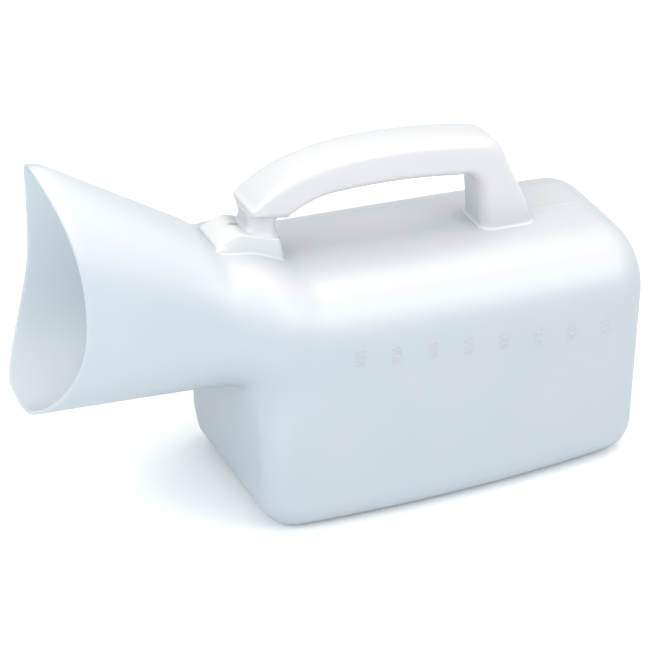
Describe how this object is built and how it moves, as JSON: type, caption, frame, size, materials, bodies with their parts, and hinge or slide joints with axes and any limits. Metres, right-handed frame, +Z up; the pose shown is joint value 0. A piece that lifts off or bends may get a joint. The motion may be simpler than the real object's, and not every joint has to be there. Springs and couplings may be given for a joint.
{
  "type": "urine bottle",
  "caption": "Hollow translucent female urine bottle with a flat-based boxy body, a flared spout with a saddle-shaped rim, raised graduation marks and an arched carrying handle.",
  "frame": {"origin": "on the plane of the flat base, under the middle of the overall bounding box", "axes": "+X from the spout towards the rear wall, +Y across the bottle away from the graduations, +Z up from the flat base"},
  "size_m": [0.237, 0.0878, 0.1505],
  "materials": {
    "translucent_plastic": "satin translucent polyethylene, faintly blue where it is thick or shaded",
    "white_plastic": "satin opaque white plastic"
  },
  "bodies": {
    "root": {"bottle_shell": "translucent_plastic", "handle": "white_plastic"}
  },
  "joints": []
}
